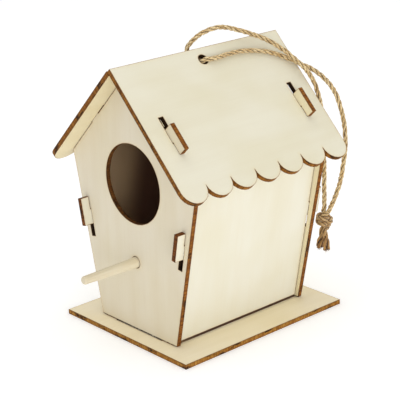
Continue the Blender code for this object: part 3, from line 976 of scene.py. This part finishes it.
def overhand(centre):
    """Two strands side by side along a loose overhand knot that runs downwards."""
    t = np.linspace(-2.2, 2.2, KNOT_POINTS)
    # the overhand knot as a curve of polynomials in t
    line = np.stack([
        t**3 - 3 * t, (t**4 - 4 * t**2) * 0.9 + 1.5, -(t**5 - 10 * t) * 0.2,
    ], axis=1) * KNOT_LOOSENESS
    turn = np.array([
        (cos(KNOT_YAW), sin(KNOT_YAW), 0), (-sin(KNOT_YAW), cos(KNOT_YAW), 0), (0, 0, 1),
    ])
    line = line @ turn
    along = np.gradient(line, axis=0)
    along /= np.linalg.norm(along, axis=1, keepdims=True)
    beside, sides = np.array((1.0, 0.0, 0.0)), []
    for direction in along:
        beside = beside - direction * (beside @ direction)
        beside /= np.linalg.norm(beside)
        sides.append(beside)
    sides = np.array(sides) * KNOT_STRAND / 2
    return np.concatenate([line - sides, line + sides]) + centre


def keep_length(strand, space):
    """Pulls a strand's points towards one space apart, and smooths it a little."""
    step = strand[1:] - strand[:-1]
    length = np.linalg.norm(step, axis=1, keepdims=True)
    pull = step * (1 - space / length) * STRETCH_PULL
    strand[:-1] += pull
    strand[1:] -= pull
    strand[1:-1] += SMOOTHING * ((strand[:-2] + strand[2:]) / 2 - strand[1:-1])


def keep_beside(left, right):
    """Pulls each pair of points towards a strand's thickness apart."""
    step = right - left
    length = np.linalg.norm(step, axis=1, keepdims=True)
    pull = step * (1 - KNOT_STRAND * 1.02 / length) * PAIR_PULL
    left += pull
    right -= pull


def push_apart(points, apart):
    """Moves apart the points that are closer than a strand's thickness."""
    step = points[:, None] - points[None]
    length = np.linalg.norm(step, axis=2) + 1e-9
    push = np.clip(KNOT_STRAND - length, 0, None) * apart * PUSH_APART
    points += (step / length[..., None] * push[..., None]).sum(axis=1)


def drawn_tight(points, held, centre):
    """Pulls both strands tight: held points move to their places, and the rest follow."""
    count = len(points) // 2
    left, right = points[:count], points[count:]
    start = {k: points[k].copy() for k in held}
    first_space = np.linalg.norm(np.diff(left, axis=0), axis=1).mean()
    last_space = KNOT_LENGTH / (count - 1)
    which = np.arange(2 * count)
    same = which[:, None] // count == which[None] // count
    reach = ceil(1.7 * KNOT_STRAND / last_space)
    apart = ~(same & (abs(which[:, None] - which[None]) < reach))
    free = np.array([k not in held for k in which])

    def hold(share):
        for k, place in held.items():
            points[k] = start[k] + (place - start[k]) * share

    for turn in range(KNOT_ROUNDS):
        share = min(1.0, turn / DRAWN_BY)
        space = first_space + (last_space - first_space) * share
        for _ in range(3):
            keep_length(left, space)
            keep_length(right, space)
            keep_beside(left, right)
            hold(share)
        points[free] += GATHERING * share * (centre - points[free].mean(axis=0))
        push_apart(points, apart)
        hold(share)
    return left, right


def knot_and_tails(finish):
    """The overhand knot in both strands, and the two frayed tails below it."""
    low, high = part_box("cord_knot")
    centre = (np.array(low) + np.array(high)) / 2 / MM
    held = {}
    for first, run, tail in ((0, LEFT_RUN, LEFT_TAIL), (KNOT_POINTS, RIGHT_RUN, RIGHT_TAIL)):
        end = np.array(run[-1])
        held[first] = end
        held[first + 1] = end + (end - smooth_route(run, CORD_STEP)[-3])
        held[first + KNOT_POINTS - 1] = np.array(tail[0])
    strands = drawn_tight(overhand(centre), held, centre)
    tubes = Tubes()
    dice = np.random.RandomState(11)
    for strand, run, tail in zip(strands, (LEFT_RUN, RIGHT_RUN), (LEFT_TAIL, RIGHT_TAIL)):
        done = distances_along(smooth_route(run, CORD_STEP))[-1]
        line = smooth_route([*strand[::2][:-1], *tail], CORD_STEP * 0.8)
        twist(tubes, line, start=done, fray=1.0, soil=KNOT_SOIL)
        loose_fibres(tubes, line, TAIL_HAIRS, dice, TAIL_HAIR_LENGTH)
        frayed_end(tubes, line, dice)
    made = tubes.object("cord_overhand_knot", finish)
    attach(made, "house")
    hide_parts("cord_knot", "cord_left_tail", "cord_right_tail")
    return made


def cord_run(name, route, cad_node, finish, seed):
    """One strand from under the ridge, out through its hole and down to the knot."""
    line = smooth_route(route, CORD_STEP)
    tubes = Tubes()
    twist(tubes, line)
    dice = np.random.RandomState(seed)
    loose_fibres(tubes, line, RUN_HAIRS, dice, HAIR_LENGTH)
    made = tubes.object(name, finish)
    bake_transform(made)
    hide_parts(cad_node)


def cord():
    finish = jute()
    knot = knot_and_tails(finish)
    cord_run("cord_right_strand", RIGHT_RUN, "cord_right_run", finish, 3)
    cord_run("cord_left_strand", LEFT_RUN, "cord_left_run", finish, 5)


# ---- stage --------------------------------------------------------------------------

FLOOR_RADIUS = 5.0
FLOOR_GLOW = 0.24
SIDE_LIGHT = {"place": (0.95, -0.30, 0.08), "size": 0.7, "power": 4.2}
TOP_LIGHT = {"place": (-0.15, -0.02, 1.2), "size": 1.0, "power": 2.2}
SKY_STRENGTH = 0.76


def camera():
    data = bpy.data.cameras.new("camera")
    data.sensor_width = 36.0
    data.lens = CAMERA_LENS
    data.clip_start, data.clip_end = 0.05, 30.0
    turn = Euler([radians(degrees) for degrees in CAMERA_TURN])
    bpy.context.scene.camera = in_scene("camera", data, CAMERA_PLACE, turn)


def floor():
    """A wide pale floor under the base plate."""
    mesh = bpy.data.meshes.new("floor")
    shape = bmesh.new()
    bmesh.ops.create_circle(shape, cap_ends=True, segments=64, radius=FLOOR_RADIUS)
    shape.to_mesh(mesh)
    shape.free()
    pale, _, shader = new_material("floor", 0.9)
    shader.inputs["Base Color"].default_value = (0.93, 0.93, 0.93, 1.0)
    shader.inputs["Specular IOR Level"].default_value = 0.0
    shader.inputs["Emission Color"].default_value = (1.0, 1.0, 1.0, 1.0)
    shader.inputs["Emission Strength"].default_value = FLOOR_GLOW
    mesh.materials.append(pale)
    in_scene("floor", mesh, (0.0, 0.0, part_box("base_plate")[0].z))


def area_light(name, aim, place, size, power):
    data = bpy.data.lights.new(name, "AREA")
    data.shape = "DISK"
    data.size = size
    data.energy = power
    turn = (Vector(aim) - Vector(place)).to_track_quat("-Z", "Y").to_euler()
    in_scene(name, data, place, turn)


def lights():
    low, high = CAD_BOX
    middle = (low + high) / 2
    area_light("side_light", middle, **SIDE_LIGHT)
    area_light("top_light", middle, **TOP_LIGHT)
    world = bpy.data.worlds.new("studio")
    world.use_nodes = True
    background = world.node_tree.nodes["Background"]
    background.inputs["Color"].default_value = (1.0, 1.0, 1.0, 1.0)
    background.inputs["Strength"].default_value = SKY_STRENGTH
    bpy.context.scene.world = world
    bpy.context.scene.view_settings.view_transform = "Standard"


camera()
cord()
boards()
perch_peg()
floor()
lights()
